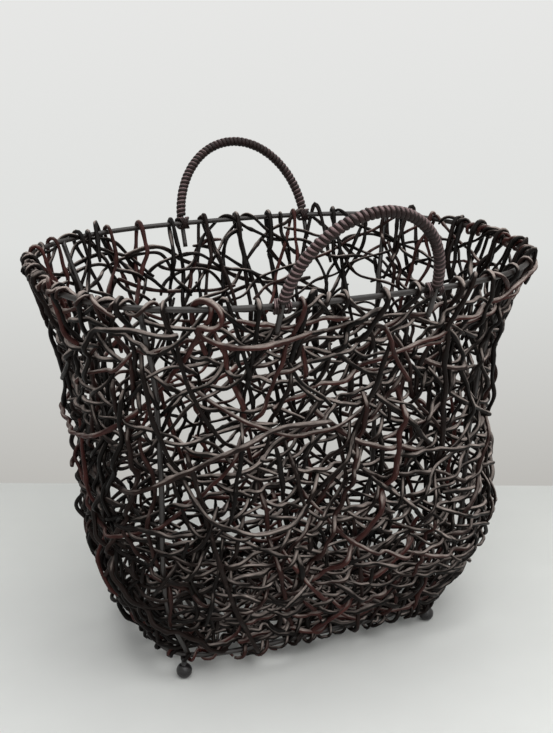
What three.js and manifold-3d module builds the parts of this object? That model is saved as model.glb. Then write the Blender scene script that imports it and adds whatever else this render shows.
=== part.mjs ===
// A vine basket: a bent-rod frame on ball feet, two cane-wrapped handles, and long vines woven at random.
// Millimetres, +Z up, +X along the long side. The origin is on the floor under the middle of the basket.
import * as THREE from "three";
import { mergeVertices } from "three/addons/utils/BufferGeometryUtils.js";
import Module from "manifold-3d";

const wasm = await Module();
wasm.setup();

// Clearance between two pieces that touch on the real basket
const seatGap = 0.3;

// The wall's cross-sections from the floor up. Squareness 2 is an ellipse, and more is boxier
const base = { height: 23, width: 296, depth: 176, squareness: 4.4 };
const belly = { height: 84, width: 362, depth: 216, squareness: 3.6 };
const waist = { height: 225, width: 390, depth: 244, squareness: 3 };
const shoulder = { height: 312, width: 414, depth: 276, squareness: 2.8 };
const rim = { height: 380, width: 462, depth: 334, squareness: 2.66 };

// The iron rods of the frame
const rodSteps = 48;
const rimRod = { radius: 2.4, sides: 8 };
const baseRod = { radius: 2.4, sides: 6 };
const post = { radius: 2.4, sides: 6, steps: 9, roundShares: [0.11, 0.39, 0.61, 0.89] };
const crossRod = { radius: 2, sides: 8, spread: 96, count: 3 };
const foot = {
  radius: 8, flatRadius: 3, neckRadius: 2.6, insetWidth: 17, insetDepth: 13, sides: 10, steps: 5,
};

// The handles: a rod arch whose legs run down outside the rim, and the cane wound round it
const handle = {
  halfWidth: 69, rise: 86, coreRadius: 2.4, legDrop: 24, sides: 6, steps: 22, legSteps: 2,
};
const handleShift = { front: -5.5, back: 28 };
const cane = { radius: 5.3, ridge: 0.8, pitch: 5.6, bareNeck: 8.5, sides: 7, ringsPerTurn: 2 };
const lashing = { radius: 1.4, sides: 4, steps: 12, reach: 9, slack: 0.9 };
const legGap = 1.5 * seatGap;

// The vines
const vine = { radius: 2.4, sides: 5, step: 33, tail: 24, hookClear: 14, hookFlats: 3 };
const arcVines = {
  count: 18, leastSpanShare: 0.11, mostSpanShare: 0.36, leastDropShare: 0.25, mostDropShare: 0.92,
  leanShare: 0.15, steepShare: 0.5, startShare: 0.9, startRate: 8, sagPower: 1.1,
};
const bandVines = {
  count: 12, reach: 470, lowShare: 0.1, highShare: 0.82, leastShare: 0.06, leastSwayShare: 0.06,
  mostSwayShare: 0.14, heightStride: 5,
};
const cradleVines = {
  across: 5, acrossShare: 0.075, along: 3, alongShare: 0.045, riseShare: 0.62, lean: 60, slantShare: 0.03,
};
const seeds = { hooks: 11, arc: 100, band: 200, cradle: 300 };

// Places round the rim, as shares of the way round
const sideRounds = { right: 0, back: 0.25, left: 0.5, front: 0.75 };

const full = 2 * Math.PI;
const up = new THREE.Vector3(0, 0, 1);
const lerp = THREE.MathUtils.lerp;

const rodMaterial = new THREE.MeshStandardMaterial({ color: 0x2b2a29, roughness: 0.5, metalness: 0.6 });
const footMaterial = new THREE.MeshStandardMaterial({ color: 0x1c1a19, roughness: 0.45, metalness: 0.5 });
const caneMaterial = new THREE.MeshStandardMaterial({ color: 0x4a3431, roughness: 0.55, metalness: 0 });
const vineMaterial = new THREE.MeshStandardMaterial({ color: 0x362b28, roughness: 0.6, metalness: 0 });

const basket = new THREE.Group();

function addMesh(name, geometry, material) {
  const mesh = new THREE.Mesh(geometry, material);
  mesh.name = name;
  basket.add(mesh);
  return mesh;
}

// Repeatable numbers from 0 to 1
function randomSource(seed) {
  let state = seed;
  return () => {
    state = (state + 0x6d2b79f5) | 0;
    let mixed = Math.imul(state ^ (state >>> 15), 1 | state);
    mixed = (mixed + Math.imul(mixed ^ (mixed >>> 7), 61 | mixed)) ^ mixed;
    return ((mixed ^ (mixed >>> 14)) >>> 0) / 4294967296;
  };
}

// The wall. round goes once round the rim, from 0 to 1, and rise goes up the wall from 0 to 1
const sections = [base, belly, waist, shoulder, rim];
const profile = new THREE.CatmullRomCurve3(
  sections.map((section) => new THREE.Vector3(section.width / 2, section.depth / 2, section.height)),
);
const wallHeight = profile.getLength();
const topShare = 1 - 1e-9;

function sectionPoint(halfWidth, halfDepth, height, squareness, angle) {
  const across = Math.cos(angle);
  const along = Math.sin(angle);
  const stretch = (Math.abs(across) ** squareness + Math.abs(along) ** squareness) ** (-1 / squareness);
  return new THREE.Vector3(halfWidth * across * stretch, halfDepth * along * stretch, height);
}

const rimSamples = 720;
const rimLengths = [0];
for (let i = 1; i <= rimSamples; i++) {
  const here = sectionPoint(rim.width / 2, rim.depth / 2, 0, rim.squareness, (full * i) / rimSamples);
  const last = sectionPoint(rim.width / 2, rim.depth / 2, 0, rim.squareness, (full * (i - 1)) / rimSamples);
  rimLengths.push(rimLengths[i - 1] + here.distanceTo(last));
}
const rimLength = rimLengths[rimSamples];

function angleAt(round) {
  const wanted = (round - Math.floor(round)) * rimLength;
  let low = 0;
  let high = rimSamples;
  while (high - low > 1) {
    const middle = (low + high) >> 1;
    if (rimLengths[middle] > wanted) high = middle;
    else low = middle;
  }
  const part = (wanted - rimLengths[low]) / (rimLengths[high] - rimLengths[low]);
  return (full * (low + part)) / rimSamples;
}

// The wall is flat between neighbouring stations of the rim rod, so that the rods follow it exactly
function wallPoint(round, rise) {
  const share = THREE.MathUtils.clamp(rise, 0, topShare);
  const section = profile.getPointAt(share);
  const squareness = lerp(base.squareness, rim.squareness, share);
  const place = (round - Math.floor(round)) * rodSteps;
  const station = Math.floor(place);
  const [here, there] = [station, station + 1].map((index) =>
    sectionPoint(section.x, section.y, section.z, squareness, angleAt(index / rodSteps)),
  );
  return here.lerp(there, place - station);
}

const nudge = 1e-3;
const smoothingShare = 0.4;

function wallFrame(round, rise, spread = smoothingShare / rodSteps) {
  const low = Math.min(Math.max(rise, nudge), 1 - nudge);
  const climb = wallPoint(round, low + nudge).sub(wallPoint(round, low - nudge)).normalize();
  const along = wallPoint(round + spread, rise).sub(wallPoint(round - spread, rise)).normalize();
  const out = along.clone().cross(climb).normalize();
  return { point: wallPoint(round, rise), out, climb, along, upright: out.clone().cross(along) };
}

// A closed tube through the centres, whose rings keep one corner turned to the matching outward direction
function tube(centres, outs, radii, sides, closed = false) {
  const count = centres.length;
  const corners = [];
  centres.forEach((centre, i) => {
    const next = centres[closed ? (i + 1) % count : Math.min(i + 1, count - 1)];
    const last = centres[closed ? (i + count - 1) % count : Math.max(i - 1, 0)];
    const ahead = next.clone().sub(last).normalize();
    const side = ahead.clone().cross(outs[i]).normalize();
    const out = side.clone().cross(ahead);
    for (let k = 0; k < sides; k++) {
      const turn = (full * k) / sides;
      const radius = typeof radii === "function" ? radii(i, k) : radii;
      const corner = centre.clone().addScaledVector(out, radius * Math.cos(turn));
      corners.push(corner.addScaledVector(side, radius * Math.sin(turn)));
    }
  });
  const faces = [];
  const rings = closed ? count : count - 1;
  for (let i = 0; i < rings; i++) {
    const here = i * sides;
    const there = ((i + 1) % count) * sides;
    for (let k = 0; k < sides; k++) {
      const other = (k + 1) % sides;
      faces.push(here + k, here + other, there + k, here + other, there + other, there + k);
    }
  }
  if (!closed) {
    const end = (count - 1) * sides;
    for (let k = 1; k < sides - 1; k++) {
      faces.push(0, k + 1, k, end, end + k, end + k + 1);
    }
  }
  const geometry = new THREE.BufferGeometry();
  const positions = corners.flatMap((corner) => [corner.x, corner.y, corner.z]);
  geometry.setAttribute("position", new THREE.Float32BufferAttribute(positions, 3));
  geometry.setIndex(faces);
  return geometry;
}

function solid(geometry) {
  const bare = new THREE.BufferGeometry();
  bare.setAttribute("position", geometry.getAttribute("position"));
  bare.setIndex(geometry.index);
  const merged = mergeVertices(bare);
  return new wasm.Manifold(
    new wasm.Mesh({
      numProp: 3,
      vertProperties: merged.attributes.position.array,
      triVerts: new Uint32Array(merged.index.array),
    }),
  );
}

function geometryOf(manifold) {
  const mesh = manifold.getMesh();
  const geometry = new THREE.BufferGeometry();
  geometry.setAttribute("position", new THREE.BufferAttribute(mesh.vertProperties, 3));
  geometry.setIndex(new THREE.BufferAttribute(mesh.triVerts, 1));
  return geometry;
}

// Everything already in place, as short straight capsules that a new vine keeps clear of
const placed = [];

function keepClear(centres, radius, closed = false) {
  const last = closed ? centres.length : centres.length - 1;
  for (let i = 0; i < last; i++) {
    const a = centres[i];
    const b = centres[(i + 1) % centres.length];
    const middle = a.clone().add(b).multiplyScalar(0.5);
    placed.push({ a, b, radius, middle, reach: a.distanceTo(b) / 2 });
  }
}

// Least distance between the segments ab and cd
function segmentDistance(a, b, c, d) {
  const first = b.clone().sub(a);
  const second = d.clone().sub(c);
  const between = a.clone().sub(c);
  const e = first.lengthSq();
  const f = second.lengthSq();
  const g = first.dot(second);
  const h = first.dot(between);
  const k = second.dot(between);
  const spread = e * f - g * g;
  let s = spread > 0 ? THREE.MathUtils.clamp((g * k - h * f) / spread, 0, 1) : 0;
  let t = (g * s + k) / f;
  if (t < 0 || t > 1) {
    t = THREE.MathUtils.clamp(t, 0, 1);
    s = THREE.MathUtils.clamp((g * t - h) / e, 0, 1);
  }
  return between.addScaledVector(first, s).addScaledVector(second, -t).length();
}

// The frame. A rod that ends at a ring is coped, so that its end fits round the ring with the seat gap
const ringCutters = {};

function coped(geometry, ...names) {
  return geometryOf(names.reduce((left, name) => left.subtract(ringCutters[name]), solid(geometry)));
}

function ring(name, rise, rod) {
  const centres = [];
  const outs = [];
  for (let i = 0; i < rodSteps; i++) {
    const frame = wallFrame(i / rodSteps, rise);
    centres.push(frame.point);
    outs.push(frame.out);
  }
  keepClear(centres, rod.radius, true);
  ringCutters[name] = solid(tube(centres, outs, rod.radius + seatGap, rod.sides, true));
  addMesh(name, tube(centres, outs, rod.radius, rod.sides, true), rodMaterial);
}

function addPosts() {
  const names = ["right_back", "left_back", "left_front", "right_front"];
  post.roundShares.forEach((round, index) => {
    const centres = [];
    const outs = [];
    const short = post.radius / 2 / wallHeight;
    for (let i = 0; i <= post.steps; i++) {
      const frame = wallFrame(round, lerp(short, 1 - short, i / post.steps));
      centres.push(frame.point);
      outs.push(frame.out);
    }
    keepClear(centres, post.radius);
    const rod = coped(tube(centres, outs, post.radius, post.sides), "rim_ring", "base_ring");
    addMesh(`post_${names[index]}`, rod, rodMaterial);
  });
}

function addCrossRods() {
  for (let i = 0; i < crossRod.count; i++) {
    const x = lerp(-crossRod.spread, crossRod.spread, i / (crossRod.count - 1));
    const top = sectionPoint(base.width / 2, base.depth / 2, base.height, base.squareness, Math.PI / 2).y;
    const shape = 1 - Math.abs((2 * x) / base.width) ** base.squareness;
    const end = top * shape ** (1 / base.squareness) - baseRod.radius / 2;
    const centres = [-1, 1].map((side) => new THREE.Vector3(x, side * end, base.height));
    keepClear(centres, crossRod.radius);
    const rod = coped(tube(centres, [up, up], crossRod.radius, crossRod.sides), "base_ring");
    addMesh(`cross_rod_${i + 1}`, rod, rodMaterial);
  }
}

function addFeet() {
  const dip = Math.sqrt(foot.radius ** 2 - foot.flatRadius ** 2);
  const neck = Math.asin(foot.neckRadius / foot.radius);
  const flat = Math.asin(foot.flatRadius / foot.radius);
  const points = [new THREE.Vector2(0, 0)];
  for (let i = 0; i <= foot.steps; i++) {
    const turn = lerp(flat, Math.PI - neck, i / foot.steps);
    points.push(new THREE.Vector2(foot.radius * Math.sin(turn), dip - foot.radius * Math.cos(turn)));
  }
  const seat = base.height - baseRod.radius - seatGap;
  points.push(new THREE.Vector2(foot.neckRadius, seat), new THREE.Vector2(0, seat));
  const places = {
    right_back: [1, 1], left_back: [-1, 1], left_front: [-1, -1], right_front: [1, -1],
  };
  for (const [name, [right, back]] of Object.entries(places)) {
    const shape = new THREE.LatheGeometry(points, foot.sides).rotateX(Math.PI / 2);
    const mesh = addMesh(`foot_${name}`, shape, footMaterial);
    const x = right * (base.width / 2 - foot.insetWidth);
    mesh.position.set(x, back * (base.depth / 2 - foot.insetDepth), 0);
    const centre = mesh.position.clone().setZ(dip);
    keepClear([centre, centre.clone().setZ(dip + nudge)], foot.radius);
  }
}

// The handles
function handlePath(side, shift) {
  const middle = wallFrame(side > 0 ? sideRounds.back : sideRounds.front, 1);
  const slope = middle.climb.clone().setX(0).normalize();
  const out = new THREE.Vector3(0, side * slope.z, -Math.abs(slope.y)).normalize();
  const apart = rimRod.radius + handle.coreRadius + legGap;
  const place = (across, rise) => {
    const edge = ((2 * Math.abs(across)) / rim.width) ** rim.squareness;
    const y = side * (rim.depth / 2) * (1 - edge) ** (1 / rim.squareness);
    return new THREE.Vector3(across, y, rim.height).addScaledVector(slope, rise).addScaledVector(out, apart);
  };
  const foot = (sign) => place(shift + sign * handle.halfWidth, 0);
  const points = [];
  for (let i = 0; i < handle.legSteps; i++) {
    points.push(foot(-1).addScaledVector(slope, lerp(-handle.legDrop, 0, i / handle.legSteps)));
  }
  for (let i = 0; i <= handle.steps; i++) {
    const turn = Math.PI * (1 - i / handle.steps);
    const level = foot(-1).lerp(foot(1), (1 + Math.cos(turn)) / 2);
    points.push(level.addScaledVector(slope, handle.rise * Math.sin(turn)));
  }
  for (let i = handle.legSteps - 1; i >= 0; i--) {
    points.push(foot(1).addScaledVector(slope, lerp(-handle.legDrop, 0, i / handle.legSteps)));
  }
  return { points, out, slope, feet: [foot(-1), foot(1)], apart };
}

// The cane: a sleeve with one ridge for each turn, wound as a helix, over the bare rod
function caneSleeve(path, out) {
  const curve = new THREE.CatmullRomCurve3(path);
  const length = curve.getLength();
  const bare = cane.bareNeck / length;
  const turns = Math.round((length * (1 - 2 * bare)) / cane.pitch);
  const steps = turns * cane.ringsPerTurn;
  const centres = [];
  for (let i = 0; i <= steps; i++) centres.push(curve.getPointAt(lerp(bare, 1 - bare, i / steps)));
  const ridge = (i, k) => {
    const phase = i / cane.ringsPerTurn + k / cane.sides;
    return cane.radius - cane.ridge * (0.5 + 0.5 * Math.cos(full * phase));
  };
  const sleeve = solid(tube(centres, centres.map(() => out), ridge, cane.sides));
  const bore = tube(path, path.map(() => out), handle.coreRadius + seatGap, handle.sides);
  return geometryOf(sleeve.subtract(solid(bore)));
}

// Two tilted loops of cane that bind a handle's leg to the rim rod
function lashingKnot(foot, out, slope, apart) {
  const across = new THREE.Vector3(1, 0, 0);
  const centre = foot.clone().addScaledVector(out, -apart / 2);
  const loops = [-1, 1].map((tilt) => {
    const long = slope.clone().addScaledVector(across, tilt).normalize();
    const centres = [];
    const outs = [];
    for (let i = 0; i < lashing.steps; i++) {
      const turn = (full * i) / lashing.steps;
      const away = out.clone().multiplyScalar(Math.cos(turn)).addScaledVector(long, Math.sin(turn));
      const deep = apart / 2 + handle.coreRadius + lashing.radius + lashing.slack;
      const wide = deep / Math.cos(Math.PI / lashing.steps);
      const point = centre.clone().addScaledVector(out, wide * Math.cos(turn));
      centres.push(point.addScaledVector(long, lashing.reach * Math.sin(turn)));
      outs.push(away);
    }
    keepClear(centres, lashing.radius, true);
    return solid(tube(centres, outs, lashing.radius, lashing.sides, true));
  });
  return geometryOf(loops[0].add(loops[1]));
}

const legRounds = [];

function addHandle(name, side, shift) {
  const { points, out, slope, feet, apart } = handlePath(side, shift);
  const outs = points.map(() => out);
  addMesh(`handle_rod_${name}`, tube(points, outs, handle.coreRadius, handle.sides), rodMaterial);
  keepClear(points, handle.coreRadius);
  const arch = points.slice(handle.legSteps, points.length - handle.legSteps);
  addMesh(`handle_cane_${name}`, caneSleeve(arch, out), caneMaterial);
  feet.forEach((foot, index) => {
    const end = index === 0 ? "left" : "right";
    addMesh(`lashing_${name}_${end}`, lashingKnot(foot, out, slope, apart), caneMaterial);
  });
  feet.forEach((foot) => legRounds.push(nearestRound(foot)));
}

function nearestRound(point) {
  let best = 0;
  for (let i = 1; i < rimSamples; i++) {
    if (wallPoint(i / rimSamples, 1).distanceTo(point) < wallPoint(best, 1).distanceTo(point)) {
      best = i / rimSamples;
    }
  }
  return best;
}

// Weaving. A vine's route is a list of places on the wall. Each place may shift in or out by whole layers.
// The cheapest list of shifts that clears what is already woven is its way over and under the others
const layer = Math.max(rimRod.radius, vine.radius) + vine.radius + seatGap;
const mostLayers = 5;
const mostTries = 20;
const mostShift = 2;
const swapShare = 0.6;
const shiftCost = 0.35;
const leastGap = seatGap / 2;
const restGap = 0.75 * seatGap;

function clears(a, b, near, radius) {
  return near.every((other) => segmentDistance(a, b, other.a, other.b) >= radius + other.radius + leastGap);
}

function wovenCentres(route, random) {
  for (let depth = 2; depth <= mostLayers; depth++) {
    const centres = cheapestWay(route, depth, random);
    if (centres) return centres;
  }
  return null;
}

function cheapestWay(route, depth, random) {
  const spots = route.map((place) => {
    if (place.fixed) return [{ at: place.point, level: place.level }];
    const levels = [];
    for (let level = -depth; level <= (place.inside ? -1 : depth); level++) levels.push(level);
    return levels.map((level) => ({
      at: place.point.clone().addScaledVector(place.out, level * layer * (place.mitre ?? 1)),
      level,
    }));
  });
  let side = random() < 0.5 ? -1 : 1;
  const wanted = route.map(() => {
    if (random() < swapShare) side = -side;
    return side;
  });
  const cost = (spot, i) => (route[i].fixed ? 0 : Math.abs(spot.level - wanted[i]));
  let best = spots[0].map((spot) => ({ total: cost(spot, 0), way: [spot] }));
  for (let i = 1; i < route.length; i++) {
    const middle = route[i].point.clone().add(route[i - 1].point).multiplyScalar(0.5);
    const reach = route[i].point.distanceTo(route[i - 1].point) / 2 + 2 * (depth + 1) * layer;
    const near = placed.filter((other) => other.middle.distanceTo(middle) < reach + other.reach);
    best = spots[i].map((spot) => {
      const ways = best
        .filter((last) => last && Math.abs(last.way[i - 1].level - spot.level) <= mostShift)
        .map((last) => ({
          total: last.total + cost(spot, i) + shiftCost * Math.abs(last.way[i - 1].level - spot.level),
          way: last.way,
        }))
        .sort((one, other) => one.total - other.total);
      const clear = ways.find((way) => clears(way.way[i - 1].at, spot.at, near, vine.radius));
      return clear && { total: clear.total, way: [...clear.way, spot] };
    });
  }
  const done = best.filter(Boolean).sort((one, other) => one.total - other.total)[0];
  return done && done.way.map((spot) => spot.at);
}

// Places on the wall at even steps along a route that is given as a function of t, from 0 to 1
function wallRoute(roundAt, riseAt) {
  const fine = 60;
  const lengths = [0];
  for (let i = 1; i <= fine; i++) {
    const here = wallPoint(roundAt(i / fine), riseAt(i / fine));
    const last = wallPoint(roundAt((i - 1) / fine), riseAt((i - 1) / fine));
    lengths.push(lengths[i - 1] + here.distanceTo(last));
  }
  const steps = Math.max(2, Math.round(lengths[fine] / vine.step));
  const route = [];
  for (let k = 0; k <= steps; k++) {
    const wanted = (lengths[fine] * k) / steps;
    const index = Math.min(fine, Math.max(1, lengths.findIndex((length) => length >= wanted)));
    const part = (wanted - lengths[index - 1]) / (lengths[index] - lengths[index - 1]);
    const t = Math.min(1, (index - 1 + part) / fine);
    route.push(wallFrame(roundAt(t), riseAt(t)));
  }
  return route;
}

// The turn of a vine over the rim rod, from the inside to the outside, with a tail that hangs inside
function rimHook(round) {
  const { point, out, upright } = wallFrame(round, 1, nudge);
  const clear = rimRod.radius + vine.radius + restGap;
  const wide = clear / Math.cos(Math.PI / vine.hookFlats / 2);
  const around = (turn) => {
    const away = out.clone().multiplyScalar(Math.cos(turn)).addScaledVector(upright, Math.sin(turn));
    const place = point.clone().addScaledVector(away, wide);
    return { point: place, out: away, fixed: true, level: Math.cos(turn) };
  };
  const tailFrame = wallFrame(round, 1 - vine.tail / wallHeight);
  const tail = { point: tailFrame.point, out: tailFrame.out, inside: true };
  const turns = [];
  for (let i = vine.hookFlats; i >= 0; i--) turns.push(around((i * Math.PI) / vine.hookFlats));
  return [tail, ...turns];
}

// Least room between a vine and what is already woven
function leastRoom(centres) {
  let least = Infinity;
  for (let i = 1; i < centres.length; i++) {
    for (const other of placed) {
      const apart = segmentDistance(centres[i - 1], centres[i], other.a, other.b);
      least = Math.min(least, apart - vine.radius - other.radius);
    }
  }
  return least;
}

// A vine that finds no way along one route, or rests on nothing there, tries the next one
function addVine(name, makeRoute, random) {
  let best = null;
  for (let i = 0; i < mostTries && !(best && best.room < restGap); i++) {
    const route = makeRoute();
    const centres = wovenCentres(route, random);
    const room = centres ? leastRoom(centres) : Infinity;
    if (centres && (!best || room < best.room)) best = { route, centres, room };
  }
  if (!best) throw new Error(`${name} found no way through the weave`);
  keepClear(best.centres, vine.radius);
  const outs = best.route.map((place) => place.out);
  addMesh(name, tube(best.centres, outs, vine.radius, vine.sides), vineMaterial);
}

// Pairs of hook places round the rim, kept clear of the handles' legs
function hookPairs(random) {
  const slots = arcVines.count * 2;
  const clear = vine.hookClear / rimLength;
  const places = [];
  for (let i = 0; i < slots; i++) {
    let round = (i + 0.5) / slots;
    for (const leg of legRounds) {
      const off = round - leg;
      if (Math.abs(off) < clear) round = leg + (off < 0 ? -clear : clear);
    }
    places.push(round);
  }
  const free = places.map((_, i) => i);
  const pairs = [];
  while (free.length) {
    const start = free.splice(Math.floor(random() * free.length), 1)[0];
    const span = lerp(arcVines.leastSpanShare, arcVines.mostSpanShare, random()) * slots;
    const gap = (slot) => (slot - start + slots) % slots;
    free.sort((one, other) => Math.abs(gap(one) - span) - Math.abs(gap(other) - span));
    const end = free.shift();
    pairs.push({ start: places[start], reach: (places[end] - places[start] + 1) % 1 });
  }
  return pairs;
}

// Vines that hook over the rim, hang in a long sagging arc and hook over the rim again
function addArcVines() {
  hookPairs(randomSource(seeds.hooks)).forEach(({ start, reach }, i) => {
    const random = randomSource(seeds.arc + i);
    const first = vine.step / wallHeight;
    const makeRoute = () => {
      const drop = lerp(arcVines.leastDropShare, arcVines.mostDropShare, random());
      const lean = arcVines.leanShare * (random() - 0.5) * reach;
      const steep = (arcVines.steepShare * reach) / full;
      const below = (t) => Math.min(1, arcVines.startRate * t, arcVines.startRate * (1 - t));
      const route = wallRoute(
        (t) => start + reach * t - steep * Math.sin(full * t) + lean * Math.sin(Math.PI * t),
        (t) => 1 - arcVines.startShare * first * below(t) - drop * Math.sin(Math.PI * t) ** arcVines.sagPower,
      ).slice(1, -1);
      return [...rimHook(start), ...route, ...rimHook(start + reach).reverse()];
    };
    addVine(`arc_vine_${i + 1}`, makeRoute, random);
  });
}

// Vines that wander along the lower wall
function addBandVines() {
  const reach = bandVines.reach / rimLength;
  for (let i = 0; i < bandVines.count; i++) {
    const random = randomSource(seeds.band + i);
    const turn = (i * bandVines.heightStride) % bandVines.count;
    const height = lerp(bandVines.lowShare, bandVines.highShare, turn / bandVines.count);
    const makeRoute = () => {
      const start = (i + random()) / bandVines.count;
      const sway = lerp(bandVines.leastSwayShare, bandVines.mostSwayShare, random());
      const phase = random();
      return wallRoute(
        (t) => start + reach * t,
        (t) => Math.max(bandVines.leastShare, height + sway * Math.sin(full * (t + phase))),
      );
    };
    addVine(`band_vine_${i + 1}`, makeRoute, random);
  }
}

// Vines that come down one wall, cross under the basket and climb the opposite wall
function cradleRoute(start, end) {
  const lean = cradleVines.lean / rimLength;
  const down = wallRoute((t) => start + lean * (1 - t), (t) => lerp(cradleVines.riseShare, 0, t));
  const climb = wallRoute((t) => end - lean * t, (t) => lerp(0, cradleVines.riseShare, t));
  const from = down.pop();
  const to = climb.shift();
  const below = up.clone().negate();
  const turnAt = (frame) => ({
    point: frame.point,
    out: frame.out.clone().add(below).normalize(),
    mitre: 1 / Math.cos(frame.out.angleTo(below) / 2),
  });
  const floor = [];
  const steps = Math.round(from.point.distanceTo(to.point) / vine.step);
  for (let i = 1; i < steps; i++) {
    floor.push({ point: from.point.clone().lerp(to.point, i / steps), out: below });
  }
  return [...down, turnAt(from), ...floor, turnAt(to), ...climb];
}

function addCradleVines() {
  const families = [
    { count: cradleVines.across, spread: cradleVines.acrossShare, sides: ["back", "front"] },
    { count: cradleVines.along, spread: cradleVines.alongShare, sides: ["right", "left"] },
  ];
  let number = 0;
  for (const family of families) {
    const [from, to] = family.sides.map((side) => sideRounds[side]);
    for (let i = 0; i < family.count; i++) {
      number += 1;
      const random = randomSource(seeds.cradle + number);
      const place = lerp(-family.spread, family.spread, i / (family.count - 1));
      const makeRoute = () => {
        const slant = cradleVines.slantShare * (random() - 0.5);
        return cradleRoute(from - place, to + place + slant);
      };
      addVine(`cradle_vine_${number}`, makeRoute, random);
    }
  }
}

ring("rim_ring", 1, rimRod);
ring("base_ring", 0, baseRod);
addPosts();
addCrossRods();
addFeet();
addHandle("front", -1, handleShift.front);
addHandle("back", 1, handleShift.back);
addCradleVines();
addArcVines();
addBandVines();

export default basket;
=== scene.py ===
import math

import bpy
import numpy as np
from mathutils import Matrix, Vector


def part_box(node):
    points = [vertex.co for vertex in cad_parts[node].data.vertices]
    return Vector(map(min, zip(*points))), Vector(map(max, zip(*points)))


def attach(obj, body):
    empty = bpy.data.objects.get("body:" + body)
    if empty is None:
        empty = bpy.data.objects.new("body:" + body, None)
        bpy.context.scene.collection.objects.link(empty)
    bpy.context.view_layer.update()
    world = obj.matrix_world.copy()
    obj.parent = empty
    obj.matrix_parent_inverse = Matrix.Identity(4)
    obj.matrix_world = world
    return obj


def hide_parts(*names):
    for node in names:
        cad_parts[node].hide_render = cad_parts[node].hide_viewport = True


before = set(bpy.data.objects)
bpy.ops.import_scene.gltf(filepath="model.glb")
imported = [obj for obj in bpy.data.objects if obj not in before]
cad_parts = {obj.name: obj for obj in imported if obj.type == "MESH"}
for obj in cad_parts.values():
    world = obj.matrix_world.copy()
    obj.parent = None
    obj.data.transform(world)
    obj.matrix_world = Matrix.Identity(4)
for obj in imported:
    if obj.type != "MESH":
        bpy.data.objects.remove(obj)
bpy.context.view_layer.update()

# The wall's cross-sections as in the solids: half length, half depth, height in metres, and squareness
BASE = (0.148, 0.088, 0.023, 4.4)
BELLY = (0.181, 0.108, 0.084, 3.6)
WAIST = (0.195, 0.122, 0.225, 3.0)
SHOULDER = (0.207, 0.138, 0.312, 2.8)
RIM = (0.231, 0.167, 0.380, 2.66)
SECTIONS = np.array([BASE, BELLY, WAIST, SHOULDER, RIM])

# Tables that places on the wall are read from
PROFILE_ROWS = 400
PROFILE_FINENESS = 4
ANGLE_ROWS = 2880
ROUND_ROWS = 21
ROUND_COLUMNS = 97
LEAST_PER_ROUND = 0.3
SLOPE_STEP = 0.001
TINY = 1e-12

# Smooth noise: the later octaves have shorter and weaker waves
OCTAVES = 2
OCTAVE_SHRINK = 1.7
OCTAVE_FADE = 0.6
OCTAVE_SPREAD = (0.75, 1.3)
OCTAVE_SUM = 1.2

# Rods of the frame, in metres
ROD_RADIUS = 0.0025
CROSS_ROD_RADIUS = 0.002
ROD_SIDES = 12
RING_SIDES = 14
RING_POINTS = 360
POST_ROUNDS = (0.11, 0.39, 0.61, 0.89)
POST_POINTS = 60

# Feet: a ball with a small flat below and a neck above
FOOT_FLAT = 0.003
FOOT_FLAT_RISE = 0.0002
NECK_RADIUS = 0.0026
NECK_SHARES = (0.96, 0.9)
BALL_STEPS = 22
FOOT_SIDES = 28

# Handles: a rod, the cane wound round it, and a lashing for each leg
HANDLE_CORE = 0.0024
CANE_WIDTH = 0.0046
CANE_THICKNESS = 0.0026
CANE_PITCH = 0.0044
CANE_STEPS_PER_TURN = 14
CANE_SIDES = 10
CANE_WAVER = 0.05
CANE_WAVE = 40
LASHING_RADIUS = 0.0011
LASHING_TURNS = 5
LASHING_STEPS_PER_TURN = 24
LASHING_STEP = 0.0012
LASHING_SPREAD = 0.0025
LASHING_SWING = 0.005
LASHING_STRETCH = 1.5
LASHING_SIDES = 8
LASHING_TONE = 0.3

# Vines: radii, and steps along them
THIN = (0.0015, 0.0020)
MEDIUM = (0.0017, 0.0025)
THICK = (0.0018, 0.0025)
STEP = 0.004
MESH_STEP = 0.003
SPLINE_GRAIN = 0.0005
LEAST_POINTS = 8
SIDES = 7
TOUCH = 0.0001

# Reading the solids: the longest edge round a tube, and the digits to which corners are the same
RING_EDGE = 0.0032
WELD_DIGITS = 6

# How a vine bends, and how it turns at the rim and at the edges of its zone
BEND = (13.0, 32.0)
BEND_WAVE = (14, 34)
RIM_ZONE = 0.022
HOOK_RUN = 0.012
HOOK_STEER = 60.0
HOOK_STEEP = 0.55
EDGE_RUN = 0.012
EDGE_STEER = 45.0
EDGE_SLOPE = 0.2
ZONE_AIM = 0.5
EDGE_AIM = 0.4
FLOOR_EDGE = 0.012

# Vines that hook over the rim
RIM_VINES = 31
RIM_STARTS = (-0.6, 1.6)
RIM_TAILS = (0.03, 0.22)
RIM_SLANT = 1.1
RIM_LENGTHS = (0.25, 0.62)

# Short vines wound round the rim and round the base
RIM_WRAPS = 6
WRAP_SPREAD = 0.035
BASE_WRAPS = 22
WRAP_LENGTHS = (0.05, 0.15)
WRAP_PITCH = (0.016, 0.045)
WRAP_STRETCH = 1.3
WRAP_WAVER = 0.9
WAVER_WAVE = 11
WRAP_LOOSENESS = 0.0008
LOOSENESS_WAVE = 9

# Short vines that arch over the rim
RIM_LOOPS = 12
LOOP_WIDTHS = (0.007, 0.016)
LOOP_RISES = (0.001, 0.007)
LOOP_DROPS = (0.03, 0.08)
LOOP_POINTS = 30
LOOP_FLARE = 0.4
LOOP_POWER = 1.7

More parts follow.
